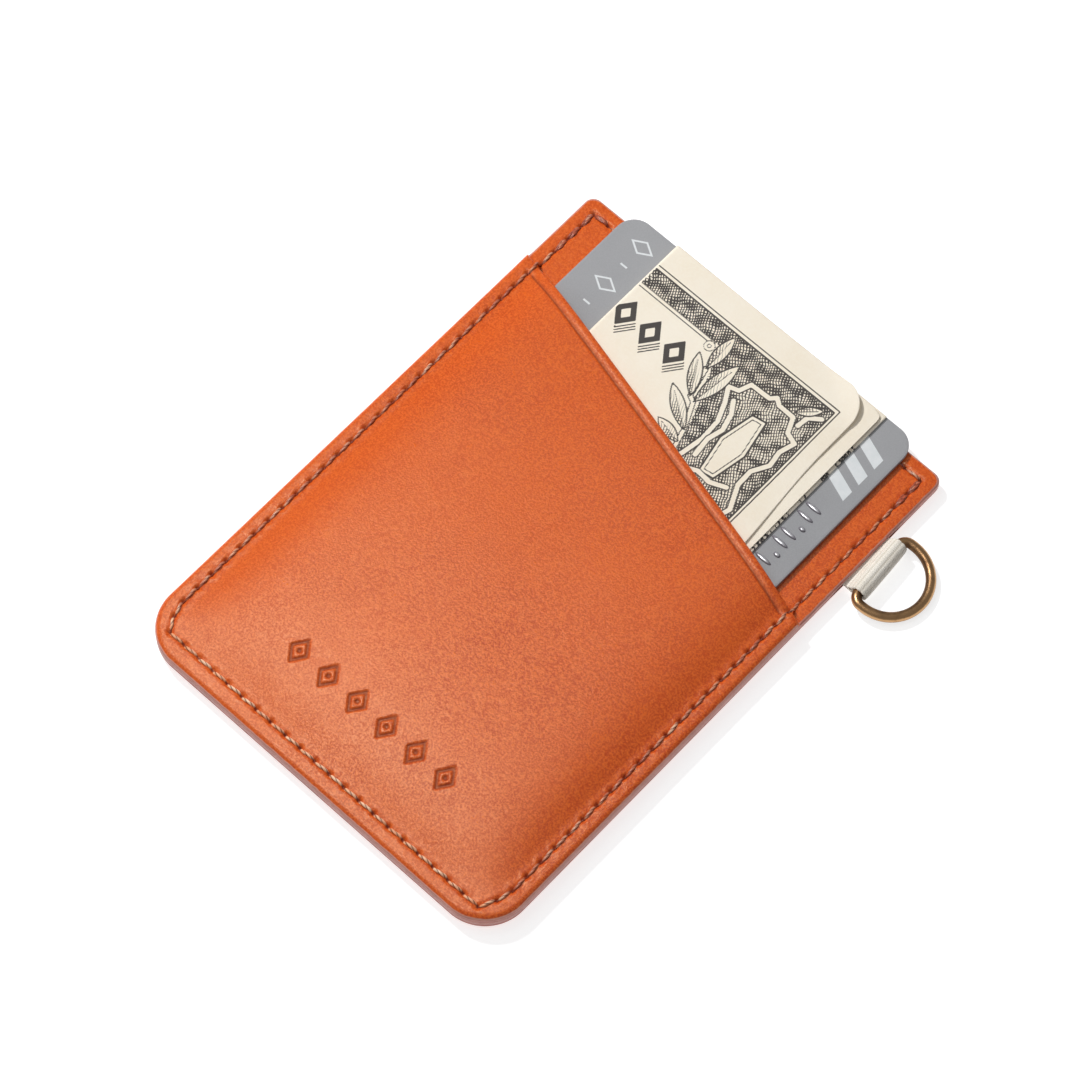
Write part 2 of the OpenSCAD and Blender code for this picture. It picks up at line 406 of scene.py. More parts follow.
def seam_dent(x, y, valley=0.16):
    """How far the leather is pulled down: valley * exp(-(d / 0.42)^2) at a distance d from the
    thread, deeper in each needle hole, and a little puckered up round it."""
    along_seam = valley * np.exp(-(from_seam(x, y) / 0.42) ** 2)
    hole = from_hole(x, y)
    puckered = 0.07 * np.exp(-((hole - 0.78) / 0.26) ** 2)
    return along_seam + 0.5 * np.exp(-(hole / 0.27) ** 2) - puckered


def painted_hole_shade(x, y):
    """Painted shade in the needle holes: how dark the leather is drawn there."""
    return 0.95 * np.exp(-(from_hole(x, y) / 0.29) ** 2)


def uneven(x, y, seed, size):
    """A gentle unevenness within about +-1: four crossing waves of that size."""
    turns = np.random.default_rng(seed).uniform(0, 2 * math.pi, (4, 2))
    total = np.zeros(np.shape(x))
    for heading, start in turns:
        total += np.sin((x * math.cos(heading) + y * math.sin(heading)) * 6.283 / size + start)
    return total / 2.5


def coarse_patch(fine, us, vs, inset, slanted, heights, first):
    """Closes a fine ring with a patch that has every fourth point of it, and a skirt of
    seven-cornered faces between the two; all face upwards. Gives its points and faces."""
    few_u, few_v = us[::4], vs[::4]
    grid = patch_of(panel_sides(few_u, few_v, inset, slanted), few_u, few_v)
    numbers = first + np.arange(grid[..., 0].size).reshape(grid.shape[:2])
    few = ring_of((numbers[0], numbers[:, -1], numbers[-1], numbers[:, 0]))
    fine = np.append(fine, fine[0])
    steps = 4 * np.arange(len(few))
    skirt = np.column_stack([fine[steps], fine[steps + 1], fine[steps + 2], fine[steps + 3],
                             fine[steps + 4], np.roll(few, -1), few])
    flat = grid.reshape(-1, 2)
    return np.column_stack([flat, heights(flat[:, 0], flat[:, 1])]), [quads_of(numbers), skirt]


def panel(name, material, us, vs, slanted, rims, insets, surface, underside, pressed, fine=True,
          flip=False):
    """One leather panel. Rings run from the underside up the wall and round the edge, then
    inwards over the top to a patch that fills the middle; a coarse patch closes the underside.
    rims is the edge's radius above and below at each point of the ring, insets is how far in
    the rings on top lie, surface and underside give heights, and the next argument how much darker
    the leather is: painted shade in its recesses, with the darkening of pressed leather.
    A panel that isn't fine has a coarse middle, and flip turns it over. The mesh keeps each
    point's distance from the painted wall, and that darkening."""
    outer = ring_of(panel_sides(us, vs, 0.0, slanted))
    inner = ring_of(panel_sides(us, vs, 1.0, slanted))
    upper, lower = rims
    rings, reach, darker = [], [], []
    open_side = np.zeros(len(outer), bool)
    if slanted:
        open_side[len(us) + len(vs) - 2:2 * len(us) + len(vs) - 3] = True

    def add(inset, heights, distance, dark):
        flat = outer + (inner - outer) * np.reshape(inset, (-1, 1))
        rings.append(np.column_stack([flat, heights(flat[:, 0], flat[:, 1])]))
        reach.append(np.where(open_side, far_from_edge, distance))
        darker.append(dark(flat[:, 0], flat[:, 1]))

    not_pressed, on_paint = level(0.0), np.zeros(len(outer))
    add(np.full(len(outer), 1.2), underside, on_paint, not_pressed)
    for turn in np.radians([90, 45, 0]):
        inset = lower * (1 - np.cos(turn))
        drop = lower * (1 - np.sin(turn))
        add(inset, lambda x, y, d=drop: underside(x, y) + d, on_paint, not_pressed)
    for turn in np.radians([0, 18, 36, 54, 72, 90]):
        inset = upper * (1 - np.cos(turn))
        drop = upper * (1 - np.sin(turn))
        add(inset, lambda x, y, d=drop: surface(x, y) - d, upper * turn, pressed)
    for inset in insets:
        ring = ring_of(panel_sides(us, vs, inset, slanted))
        rings.append(np.column_stack([ring, surface(ring[:, 0], ring[:, 1])]))
        reach.append(np.where(open_side, far_from_edge, upper * math.pi / 2 + inset - upper))
        darker.append(pressed(ring[:, 0], ring[:, 1]))

    around = len(outer)
    count = around * len(rings)
    numbers = np.arange(count).reshape(len(rings), around)
    wall = quads_of(np.column_stack([numbers, numbers[:, 0]]))
    if fine:
        middle = patch_of(panel_sides(us, vs, insets[-1], slanted), us, vs)
        inside = middle[1:-1, 1:-1].reshape(-1, 2)
        top_points = np.column_stack([inside, surface(inside[:, 0], inside[:, 1])])
        top_faces = [quads_of(ring_numbers(numbers[-1, 0], len(us), len(vs), count))]
    else:
        top_points, top_faces = coarse_patch(numbers[-1], us, vs, insets[-1] + 0.8, slanted,
                                             surface, count)
    count += len(top_points)

    below_points, below_faces = coarse_patch(numbers[0], us, vs, 3.4, slanted, underside, count)
    points = np.concatenate([*rings, top_points, below_points])
    faces = [wall, *top_faces, *(f[:, ::-1] for f in below_faces)]
    if flip:
        points[:, 2] = skin - points[:, 2]
        faces = [f[:, ::-1] for f in faces]
    layers = {
        "edge": np.append(np.concatenate(reach),
                          np.full(len(top_points) + len(below_points), far_from_edge)),
        "pressed": np.concatenate([*darker, pressed(top_points[:, 0], top_points[:, 1]),
                                   np.zeros(len(below_points))])}
    return piece(name, points, faces, material, layers)


def leather():
    """Smooth orange-tan leather: a fine mottled grain over slow clouds of deeper orange, with
    painted shade that deepens it towards the right and in the stamps, the pressed line and the
    needle holes, along with the darkening of pressed leather; and a mauve-brown paint on the
    cut edges with a paler line at its rim, a painted highlight."""
    material, tree, shader = finish("tan_leather", Specular_IOR_Level=0.62,
                                    Specular_Tint=(1, 0.93, 0.66, 1))
    at = tree.here()
    edge = tree.kept("edge")
    pressed = tree.kept("pressed")
    clouds = at.noise(38, 3, 0.55)
    mottle = at.noise(330, 4, 0.6)
    grain = at.noise(3300, 4, 0.7)
    # Painted shade: the leather is drawn deeper orange towards the right, where the light falls
    # off.
    painted_shade_to_right = at.node("SeparateXYZ", None, {"Vector": at}).between(-0.045, 0.05)
    clouds_and_shade = (clouds - 0.5) * 1.3 + (mottle - 0.5) * 0.75 + painted_shade_to_right * 0.24 + 0.34
    ground = clouds_and_shade.between(0, 1).mixed((0.645, 0.077, 0.003), (0.503, 0.040, 0.001))
    speck = grain.between(0.38, 0.63)
    grained = (speck * 0.95).mixed(ground, (0.79, 0.145, 0.020))
    # Painted shade in the stamps, the pressed line and the needle holes, with the darkening of
    # pressed leather.
    dark = pressed.between(0, 1).mixed(grained, (0.17, 0.018, 0.006))
    ragged = edge + (at.noise(900, 2) - 0.5) * 0.22
    painted = 1 - ragged.between(0.42, 0.56)
    paint_mottle = at.noise(420, 3).between(0.3, 0.7)
    paint = paint_mottle.mixed((0.50, 0.165, 0.140), (0.40, 0.110, 0.092))
    # Painted highlight: a paler line along the top of the edge paint.
    rim = ragged.between(0.26, 0.40) * (1 - ragged.between(0.50, 0.62))
    edged = painted.mixed(dark, paint)
    feed(shader, "Base Color", (rim * 0.65).mixed(edged, (0.68, 0.34, 0.28)))
    dull = 0.45 - speck * 0.16 + (mottle - 0.5) * 0.14 + pressed * 0.25
    feed(shader, "Roughness", dull)
    bumped(shader, grain * 0.8 + at.noise(800, 3) * 0.2, 0.00007)
    return material


tan_leather = leather()

sewn_margin = 3.0
bulge = 1.94


def swell(distance, run, start=1.2):
    """How far a sheet has risen at a distance from where it is held: from 0 to 1, slowly at
    first, by 1 - exp(-d^2 / (run * (d + start)))."""
    d = np.maximum(distance, 0)
    return 1 - np.exp(-d * d / (run * (d + start)))


def pocket_shape(x, y):
    """The pocket's outside: three skins at the margin, and nearly 2 mm more over the contents."""
    from_sides = swell(x - sewn_margin, 3.6) * swell(width - sewn_margin - x, 3.6)
    return 3 * skin + bulge * (from_sides * swell(y - sewn_margin, 6.0, 1.5))


def pocket_inside(x, y):
    """The pocket's inside, one skin below its outside, but clear of the card pushed right down:
    there the leather is pressed thinner, to no less than 0.18 mm."""
    low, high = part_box("card_core")
    (left, foot, _), (right, _, card_face) = laid_out(low), laid_out(high)
    over_card = (smooth(x, left - 0.9, left - 0.2) * (1 - smooth(x, right + 0.2, right + 0.9))
                 * smooth(y, foot - 5.3, foot - 4.5))
    clear = (card_face + 0.06) * over_card
    return np.maximum(pocket_shape(x, y) - skin, np.minimum(clear, pocket_shape(x, y) - 0.18))


def pocket_crease(x, y):
    """The line pressed along the mouth, with its ends faded out at the side seams."""
    inside = smooth(x, 2.2, 3.4) * (1 - smooth(x, width - 3.4, width - 2.2))
    return inside * np.exp(-((below_mouth(x, y) - 1.55) / 0.22) ** 2)


stamp_centre_y, stamp_pitch, stamp_count = 12.6, 5.47, 6
stamp_half = (1.35, 1.8)


def stamped(x, y):
    """How deep a row of open lozenges with a dot in each is stamped: 1 at the bottom of a line,
    0 beside it. A lozenge is |x| / a + |y| / b = 1."""
    first = width / 2 - stamp_pitch * (stamp_count - 1) / 2
    number = np.clip(np.round((x - first) / stamp_pitch), 0, stamp_count - 1)
    dx, dy = np.abs(x - first - number * stamp_pitch), np.abs(y - stamp_centre_y)
    a, b = stamp_half
    line = np.abs(dx / a + dy / b - 1) * a * b / math.hypot(a, b)
    dot = np.hypot(dx, dy) - 0.30
    return 1 - smooth(np.minimum(line - 0.16, dot), 0, 0.16)


def pocket_surface(x, y):
    """The bulge with its seam, pressed line, stamps and a little unevenness."""
    calm = 1 - np.exp(-(from_seam(x, y) / 2.5) ** 2)
    inside = smooth(x, 2.2, 4.5) * (1 - smooth(x, width - 4.5, width - 2.2))
    ridge = 0.12 * np.exp(-((below_mouth(x, y) - 0.75) / 0.42) ** 2)
    return (pocket_shape(x, y) - seam_dent(x, y) - 0.25 * pocket_crease(x, y) + ridge * inside
            - 0.24 * stamped(x, y) + 0.035 * calm * uneven(x, y, 3, 23))


def pocket_pressed(x, y):
    """Darker in the stamps, in the pressed line and in the needle holes: painted shade in these
    recesses, with the darkening of pressed leather.
    """
    return np.clip(0.62 * stamped(x, y) + 0.70 * pocket_crease(x, y) + painted_hole_shade(x, y), 0, 1)


us = graded((0, 36), (0.24, 168), (0.765, 36))
vs = graded((0, 16), (0.085, 32), (0.16, 176))
ring_x = ring_of(panel_sides(us, vs, 0.0, True))[:, 0]
on_mouth = np.arange(len(ring_x))
on_mouth = (on_mouth >= len(us) + len(vs) - 2) & (on_mouth <= 2 * len(us) + len(vs) - 3)
to_side = np.minimum(ring_x, width - ring_x)
mouth_rim = cut_edge + (soft_edge - cut_edge) * np.exp(-(to_side / 1.3) ** 2)
rims = (np.where(on_mouth, mouth_rim, soft_edge), np.where(on_mouth, 0.3, glued_edge))
insets = [1.1, 1.35, 1.6, 1.8, 1.95, 2.1, 2.25, 2.4, 2.55, 2.7, 2.9, 3.2, 3.6]
front_pocket = panel("front_pocket_leather", tan_leather, us, vs, True, rims, insets,
                     pocket_surface, pocket_inside, pocket_pressed)
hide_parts("front_pocket")
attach(front_pocket, "wallet")

# ---- Back and middle panel ------------------------------------------------------------------
# The other two pieces of the same leather, full size. The middle one shows above the mouth, and
# the back one is the wallet's plain back. They are glued and sewn, and parted a little by the tab.
tab_height = 76.6
ring_x, ring_y = ring_of(panel_sides(us, vs, 0.0, False)).T
parted = np.where(ring_x > width / 2, np.exp(-((ring_y - tab_height) / 7.4) ** 6), 0)
free = smooth(ring_y - mouth_at(ring_x), -0.6, 1.2)
wedge = glued_edge + 0.46 * parted


def middle_surface(x, y):
    """Two skins over the table, with the seam's dent and a trace of unevenness; the puckers are
    pressed flat, so that the card slides over them."""
    return np.minimum(2 * skin + 0.015, 2 * skin - seam_dent(x, y) + 0.02 * uneven(x, y, 5, 17))


def back_surface(x, y):
    """One skin over its underside, with the seam's dent; it is turned over afterwards, so that
    this side lies on the table."""
    return np.minimum(skin, skin - seam_dent(x, y, 0.22))


middle = panel("middle_panel_leather", tan_leather, us, vs, False,
               (glued_edge + (cut_edge - glued_edge) * free, wedge), insets, middle_surface,
               level(skin), painted_hole_shade, fine=False)
back = panel("back_panel_leather", tan_leather, us, vs, False,
             (np.full(len(ring_x), soft_edge), wedge), insets, back_surface,
             level(0.0), painted_hole_shade, fine=False, flip=True)
for leather_piece, node in ((middle, "middle_panel"), (back, "back_panel")):
    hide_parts(node)
    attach(leather_piece, "wallet")

# ---- Seam threads ---------------------------------------------------------------------------
# Two waxed two-ply threads, the needle's on the front and the bobbin's on the back, lock in every
# hole of one seam that runs right round the wallet, under the card as well. Both top corners are
# sewn over a second time, so that the seam can't come open there.
thread_radius = 0.24
twist_length = 1.9
dive_depth = 0.62
bobbin_level = 0.30


def thread_finish():
    """Waxed thread: glossy tan, drawn nearly black-brown in the twist and down in the holes as
    painted shade, and paler along the bottom as a painted highlight.
    """
    material, tree, shader = finish("brown_thread", Roughness=0.34, Specular_IOR_Level=0.6)
    at = tree.here()
    ply = tree.kept("ply")
    sunk = tree.kept("sunk")
    painted_sheen_falloff = tree.kept("painted_sheen_falloff")
    hairs = at.noise(2600, 2)
    # Painted shade: darker in the groove between the plies and where the thread dives into a hole.
    lit = ply.between(0.05, 0.75) * (1 - sunk.between(0.2, 0.7)) * (0.6 + hairs * 0.7)
    lighter_share = at.noise(210, 2).between(0.35, 0.65)
    yarn = lighter_share.mixed((0.90, 0.42, 0.21), (1.0, 0.70, 0.46))
    # Painted highlight: paler thread along the bottom, darker above it and on the tacks.
    yarn = (painted_sheen_falloff + (at.noise(330, 2) - 0.5) * 1.4).between(0, 1).mixed(yarn, (0.46, 0.100, 0.050))
    feed(shader, "Base Color", lit.mixed((0.22, 0.034, 0.012), yarn))
    bumped(shader, hairs, 0.00004)
    return material


brown_thread = thread_finish()


def sweep(centres, sideways, outline):
    """A closed tube along centres: outline gives at each of them a ring of (sideways, upwards)
    steps. Upwards is the path's direction crossed with sideways."""
    ahead = np.roll(centres, -1, axis=0) - np.roll(centres, 1, axis=0)
    ahead /= np.linalg.norm(ahead, axis=1)[:, None]
    side = sideways - ahead * (sideways * ahead).sum(1)[:, None]
    side /= np.linalg.norm(side, axis=1)[:, None]
    up = np.cross(ahead, side)
    return centres[:, None] + outline[:, :, :1] * side[:, None] + outline[:, :, 1:] * up[:, None]


def tube_faces(count, around, closed=True):
    """Faces of a tube with that many rings of that many points, and end caps if it is open."""
    numbers = np.arange(count * around).reshape(count, around)
    numbers = np.column_stack([numbers, numbers[:, 0]])
    if closed:
        return [quads_of(np.concatenate([numbers, numbers[:1]]))]
    return [quads_of(numbers), numbers[:1, :-1][:, ::-1], numbers[-1:, :-1]]


def two_ply(phase, around):
    """Rings of two twisted plies: thread_radius * (0.76 + 0.24 |cos(angle - phase)|), turning
    with phase. Gives the rings and how high on a ply each point is."""
    angle = np.linspace(0, 2 * math.pi, around, endpoint=False)[None]
    high_ply = np.abs(np.cos(angle - phase[:, None]))
    reach = thread_radius * (0.76 + 0.24 * high_ply)
    return np.stack([reach * np.cos(angle), reach * np.sin(angle)], -1), high_ply


def seam_thread(name, holes, heights, seed, down=1, beside_it=0.0, dark=0.0):
    """The thread over a closed round of stitches, all at once. In each it leaves its hole, lies
    a little aslant on the leather, beside_it to its left, and dives into the next one: its depth
    is exp(-(d / 0.42)^2) at a distance d after a hole and exp(-(d / 0.58)^2) before the next.
    Along the bottom the thread is drawn paler, a painted highlight where the sheen light falls;
    dark keeps it darker everywhere."""
    steps, around = 18, 10
    step = np.roll(holes, -1, axis=0) - holes
    length = np.hypot(step[:, 0], step[:, 1])[:, None]
    t = np.linspace(0, 1, steps, endpoint=False)[None]
    rng = np.random.default_rng(seed)
    shut = 1 - (2 * t - 1) ** 6
    aslant = (rng.normal(0.17, 0.04, (len(holes), 1)) * (2 * t - 1) + beside_it) * shut
    flat = holes[:, None] + step[:, None] * t[..., None]
    sideways = np.stack([-step[:, 1], step[:, 0]], -1) / length
    flat = flat + sideways[:, None] * aslant[..., None]
    x, y = flat[..., 0].ravel(), flat[..., 1].ravel()
    at_hole = np.exp(-(t * length / 0.42) ** 2) + np.exp(-((1 - t) * length / 0.58) ** 2)
    lying = heights(x, y)
    lying = np.stack([np.roll(lying, k) for k in range(-3, 4)]).max(0)
    lying = sum(np.roll(lying, k) for k in range(-2, 3)) / 5
    slack = np.repeat(rng.normal(0, 0.02, len(holes)), steps)
    centres = np.column_stack([x, y, lying + slack - dive_depth * down * at_hole.ravel()])
    walked = np.arange(len(centres)) * length.mean() / steps
    phase = 2 * math.pi * walked / twist_length + np.repeat(rng.uniform(0, 0.5, len(holes)), steps)
    outline, high_ply = two_ply(phase, around)
    across = np.repeat(np.column_stack([sideways, np.zeros(len(holes))]), steps, axis=0)
    points = sweep(centres, across, outline).reshape(-1, 3)
    sunk = np.clip(np.repeat(at_hole.ravel(), around), 0, 1)
    # Painted highlight: the thread is paler along the bottom, where the sheen light falls.
    painted_sheen_falloff = np.maximum(dark, 0.62 * smooth(np.repeat(y, around), 2.9, 7.5))
    layers = {"ply": high_ply.ravel(), "sunk": sunk, "painted_sheen_falloff": painted_sheen_falloff}
    return piece(name, points, tube_faces(len(centres), around), brown_thread, layers)


def needle_heights(x, y):
    """The top surface under the needle's thread: the pocket's below the mouth, the middle
    panel's above it, and a little lower where the card lies over the seam."""
    above = y > mouth_at(x)
    over = np.where(above, 2 * skin, 3 * skin)
    covered = smooth(x, 4.5, 6) * (1 - smooth(x, 60.5, 62)) * above
    return over + 0.03 - 0.28 * covered


def there_and_back(corner, down, along_top):
    """The needle holes within down of a top corner on its side and within along_top of it on the
    top, as a closed round: up the side, along the top and back again."""
    from_corner = np.hypot(*(holes - corner).T)
    from_side = np.abs(holes[:, 0] - corner[0])
    near = np.where(from_side < 0.5, from_corner < down, from_corner < along_top)
    order = np.where(from_side < 0.5, holes[:, 1], 99 + from_side)[near]
    walk = holes[near][np.argsort(order)]
    return np.concatenate([walk, walk[-2:0:-1]])


needle = seam_thread("needle_thread_twist", holes, needle_heights, 11)
bobbin = seam_thread("bobbin_thread_twist", holes, level(bobbin_level), 12, down=-1)
left_tack = seam_thread("left_back_tack", there_and_back(seam_corners[0], 8.8, 3.0),
                        needle_heights, 13, beside_it=0.16, dark=0.9)
right_tack = seam_thread("right_back_tack", there_and_back(seam_corners[-1], 6.0, 1.0),
                         needle_heights, 14, beside_it=0.16, dark=0.9)
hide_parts("needle_thread")
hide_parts("bobbin_thread")
for thread_piece in (needle, bobbin, left_tack, right_tack):
    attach(thread_piece, "wallet")

# ---- Webbing tab ----------------------------------------------------------------------------
# A short length of off-white grosgrain ribbon is folded round the ring's bar, and both its tails
# are sewn in between the middle and the back panel. Its ribs run along the bar, and its edges
# draw in between them. The path of the fold is (distance out of the wallet, height).
tab_skew = math.radians(4)
bar_out, bar_height = 2.1, 1.63


def beside(x, y, z):
    """From the tab's own frame, x out of the wallet and y along its edge, to the wallet's."""
    turned_x = x * math.cos(tab_skew) - y * math.sin(tab_skew)
    turned_y = x * math.sin(tab_skew) + y * math.cos(tab_skew)
    return np.stack([width + turned_x, tab_height + turned_y, z + 0 * turned_x], -1)


def ribbon_finish():
    """Off-white yarn: fine warp threads cross the ribs, with painted shade, greyer, down between
    the ribs and the warp threads.
    """
    material, tree, shader = finish("ribbed_webbing", Roughness=0.8, Sheen_Weight=0.25)
    at = tree.here()
    rib = tree.kept("rib")
    across = tree.kept("across")
    warp = (across * 21 + at.noise(700, 2) * 1.2).maths("SINE") * 0.5 + 0.5
    soil = at.noise(260, 3).between(0.35, 0.75)
    yarn = soil.mixed((0.97, 0.92, 0.83), (0.92, 0.85, 0.74))
    # Painted shade: greyer down between the ribs and between the warp threads.
    painted_rib_light = rib.between(0.05, 0.75) * (0.70 + warp * 0.30)
    feed(shader, "Base Color", painted_rib_light.mixed((0.74, 0.67, 0.56), yarn))
    bumped(shader, warp * 0.5 + at.noise(2200, 3) * 0.5, 0.00007)
    return material


tape_width, tape_around = 9.6, 48
tail_thick, fold_thick = 0.20, 0.335
fold_radius, fold_open = 1.2, math.radians(118)
upper_tail, lower_tail, tail_end = 1.375, 0.925, -7.8
rib_pitch = 0.80


def fold_path():
    """The ribbon's middle line: a round fold, led in from its two tails by curves
    (1 - t)^2 a + 2 t (1 - t) b + t^2 c."""
    turn = np.linspace(fold_open, -fold_open, 60)
    loop = np.column_stack([bar_out + fold_radius * np.cos(turn),
                            bar_height + fold_radius * np.sin(turn)])
    t = np.linspace(0, 1, 20)[:, None]

    def curve(a, b, c):
        return (1 - t) ** 2 * np.array(a) + 2 * t * (1 - t) * np.array(b) + t ** 2 * np.array(c)

    return np.concatenate([
        [[tail_end, upper_tail]], curve([0.2, upper_tail], [0.9, 1.45], loop[0]), loop[1:],
        curve(loop[-1], [0.9, 0.70], [0.2, lower_tail])[1:], [[tail_end, lower_tail]]])


def ribbon(path):
    """The ribbon along that path. Its cross section is a rounded bar, with sine and cosine raised
    to 0.75 and 0.30, and it is thinner and narrower between its ribs. Gives its points, how high
    on a rib each is, and how far across the ribbon."""
    walk = np.append(0, np.cumsum(np.hypot(*np.diff(path, axis=0).T)))
    tape_at = np.linspace(0, walk[-1], 300)
    tape_x, tape_z = (np.interp(tape_at, walk, path[:, i]) for i in (0, 1))
    outside = smooth(tape_x, -0.3, 1.2)
    rib = np.abs(np.cos(math.pi * (tape_at - walk[-1] / 2) / rib_pitch)) ** 0.7
    thick = tail_thick + (fold_thick - tail_thick) * outside
    swing = np.linspace(0, 2 * math.pi, tape_around, endpoint=False)
    wide = np.sign(np.sin(swing)) * np.abs(np.sin(swing)) ** 0.75
    tall = np.sign(np.cos(swing)) * np.abs(np.cos(swing)) ** 0.30
    ribbed = 1 - 0.30 * (1 - rib[:, None]) * outside[:, None]
    across = (tape_width / 2 - 0.09 * (1 - rib[:, None])) * wide[None]
    off_middle = thick[:, None] * ribbed * tall[None]
    ahead = np.gradient(np.column_stack([tape_x, tape_z]), axis=0)
    ahead /= np.linalg.norm(ahead, axis=1)[:, None]
    points = beside(tape_x[:, None] + ahead[:, 1:] * off_middle, across,
                    tape_z[:, None] - ahead[:, :1] * off_middle)
    return points.reshape(-1, 3), np.repeat(rib, tape_around), across.ravel()


tape_points, rib, across = ribbon(fold_path())
tape_faces = tube_faces(len(tape_points) // tape_around, tape_around, False)
tab = piece("webbing_tab_ribbon", tape_points, tape_faces, ribbon_finish(),
            {"rib": rib, "across": across})
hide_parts("webbing_tab")
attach(tab, "wallet")

# ---- D-ring ---------------------------------------------------------------------------------
# A ring of round brass wire, bent to a D and chemically aged to a brown patina; it is drawn
# golden along its outer and upper sides. It swings freely in the tab's fold.
wire_radius, wire_around = 0.75, 24
ring_half, bend_radius, bow_out = 5.9, 1.4, 1.85
off_table = 0.03
ring_tilt = math.asin((bar_height - wire_radius - off_table) / (bow_out + ring_half))


def ring_finish():
    """Aged brass: brown patina in clouds, and golden metal drawn along the ring's outer and upper
    sides.
    """
    material, tree, shader = finish("antique_brass", Metallic=1.0)
    at = tree.here()
    lighter_share = tree.kept("lighter_share")
    cloud = at.noise(420, 4, 0.6)
    golden_share = (lighter_share + (cloud - 0.5) * 1.1).between(0.42, 0.92)
    brown = at.noise(1500, 3).mixed((0.110, 0.058, 0.030), (0.24, 0.130, 0.065))
    feed(shader, "Base Color", golden_share.mixed(brown, (0.56, 0.33, 0.16)))
    feed(shader, "Roughness", 0.46 - golden_share * 0.16 + (cloud - 0.5) * 0.15)
    bumped(shader, at.noise(1300, 4), 0.00003)
    return material


def wire_ring():
    """The wire's tube along the D: a bar, two bends, and a bow between two short legs. Gives its
    points and how golden each is drawn: more on the side away from the bow's middle, and on top."""
    straight, quarter = ring_half - bend_radius, math.pi / 2
    bits = [((0, -straight), (0, straight)),
            ((bend_radius, straight), bend_radius, 2 * quarter, quarter),
            ((bend_radius, ring_half), (bow_out, ring_half)),
            ((bow_out, 0), ring_half, quarter, -quarter),
            ((bow_out, -ring_half), (bend_radius, -ring_half)),
            ((bend_radius, -straight), bend_radius, -quarter, -2 * quarter)]
    bow = along(bits, np.linspace(0, 1, 220, endpoint=False))
    centres = beside(bar_out + bow[:, 0] * math.cos(ring_tilt), bow[:, 1],
                     bar_height - bow[:, 0] * math.sin(ring_tilt))
    spin = np.linspace(0, 2 * math.pi, wire_around, endpoint=False)
    section = wire_radius * np.stack([np.cos(spin), np.sin(spin)], -1)[None]
    points = sweep(centres, np.tile([0.0, 0.0, 1.0], (len(bow), 1)), section)
    bow_middle = beside(bar_out + bow_out, 0.0, np.array(bar_height))
    outward = (np.linalg.norm(points[..., :2] - bow_middle[:2], axis=-1)
               - np.linalg.norm(centres[:, :2] - bow_middle[:2], axis=-1)[:, None])
    upward = points[..., 2] - centres[:, None, 2]
    return points.reshape(-1, 3), (0.5 + (0.34 * outward + 0.30 * upward) / wire_radius).ravel()


ring_points, lighter_share = wire_ring()
ring_faces = tube_faces(len(ring_points) // wire_around, wire_around)
d_ring = piece("d_ring_wire", ring_points, ring_faces, ring_finish(), {"lighter_share": lighter_share})
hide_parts("d_ring")
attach(d_ring, "ring")

# ---- Bank card ------------------------------------------------------------------------------
# A standard plastic card in silver grey, 54 mm wide and 0.76 mm thick, stands in the pocket with
# its chip end down. It carries plain white ornaments, a row of raised pips, a chip, and on its
# back a dark stripe and a light strip.
card_low, card_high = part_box("card_core")
card_left, card_foot, card_under = laid_out(card_low)
card_right, card_head, card_top = laid_out(card_high)
card_corner, card_edge = 3.18, 0.07


def plastic_finish():
    """Silver-grey lacquered plastic with a very fine pearl grain and faint scuffs."""
    material, tree, shader = finish("card_plastic", Specular_IOR_Level=0.5)
    at = tree.here()
    pearl = at.noise(5200, 2).between(0.35, 0.65)
    haze = at.noise(55, 3).between(0.3, 0.7)
    silver = haze.mixed((0.318, 0.320, 0.330), (0.355, 0.357, 0.368))
    feed(shader, "Base Color", (pearl * 0.30).mixed(silver, (0.42, 0.42, 0.432)))
    feed(shader, "Roughness", 0.36 + haze * 0.10)
    bumped(shader, at.noise(3000, 3), 0.000006)
    return material


def plate(name, outline, floor_z, top_z, edge, material):
    """A flat plate with that outline, anticlockwise, and its edges rounded off by edge."""
    ahead = np.roll(outline, -1, axis=0) - np.roll(outline, 1, axis=0)
    ahead /= np.linalg.norm(ahead, axis=1)[:, None]
    inwards = np.column_stack([-ahead[:, 1], ahead[:, 0]])
    turn = np.radians([90, 45, 0])
    inset = np.append(edge + 0.35, edge * (1 - np.cos(turn)))
    drop = np.append(0, edge * (1 - np.sin(turn)))
    inset = np.concatenate([inset, inset[::-1]])[:, None, None]
    heights = np.concatenate([floor_z + drop, top_z - drop[::-1]])[:, None, None]
    rings = outline + inwards * inset
    rings = np.concatenate([rings, np.broadcast_to(heights, (*rings.shape[:2], 1))], -1)
    faces = tube_faces(len(rings), len(outline), False)
    return piece(name, rings.reshape(-1, 3), faces, material)


def round_corners(left, foot, right, top, radius):
    """Outline of a rectangle with round corners, anticlockwise. Each corner's arc is the one
    before it given a quarter turn."""
    turn = np.linspace(0, math.pi / 2, 12)
    arc = radius * np.stack([np.cos(turn), np.sin(turn)], 1)
    right, top = right - radius, top - radius
    left, foot = left + radius, foot + radius
    quarter_turn = np.array([[0, 1], [-1, 0]])
    arcs = []
    for centre in ((right, top), (left, top), (left, foot), (right, foot)):
        arcs.append(np.add(centre, arc))
        arc = arc @ quarter_turn
    return np.concatenate(arcs)


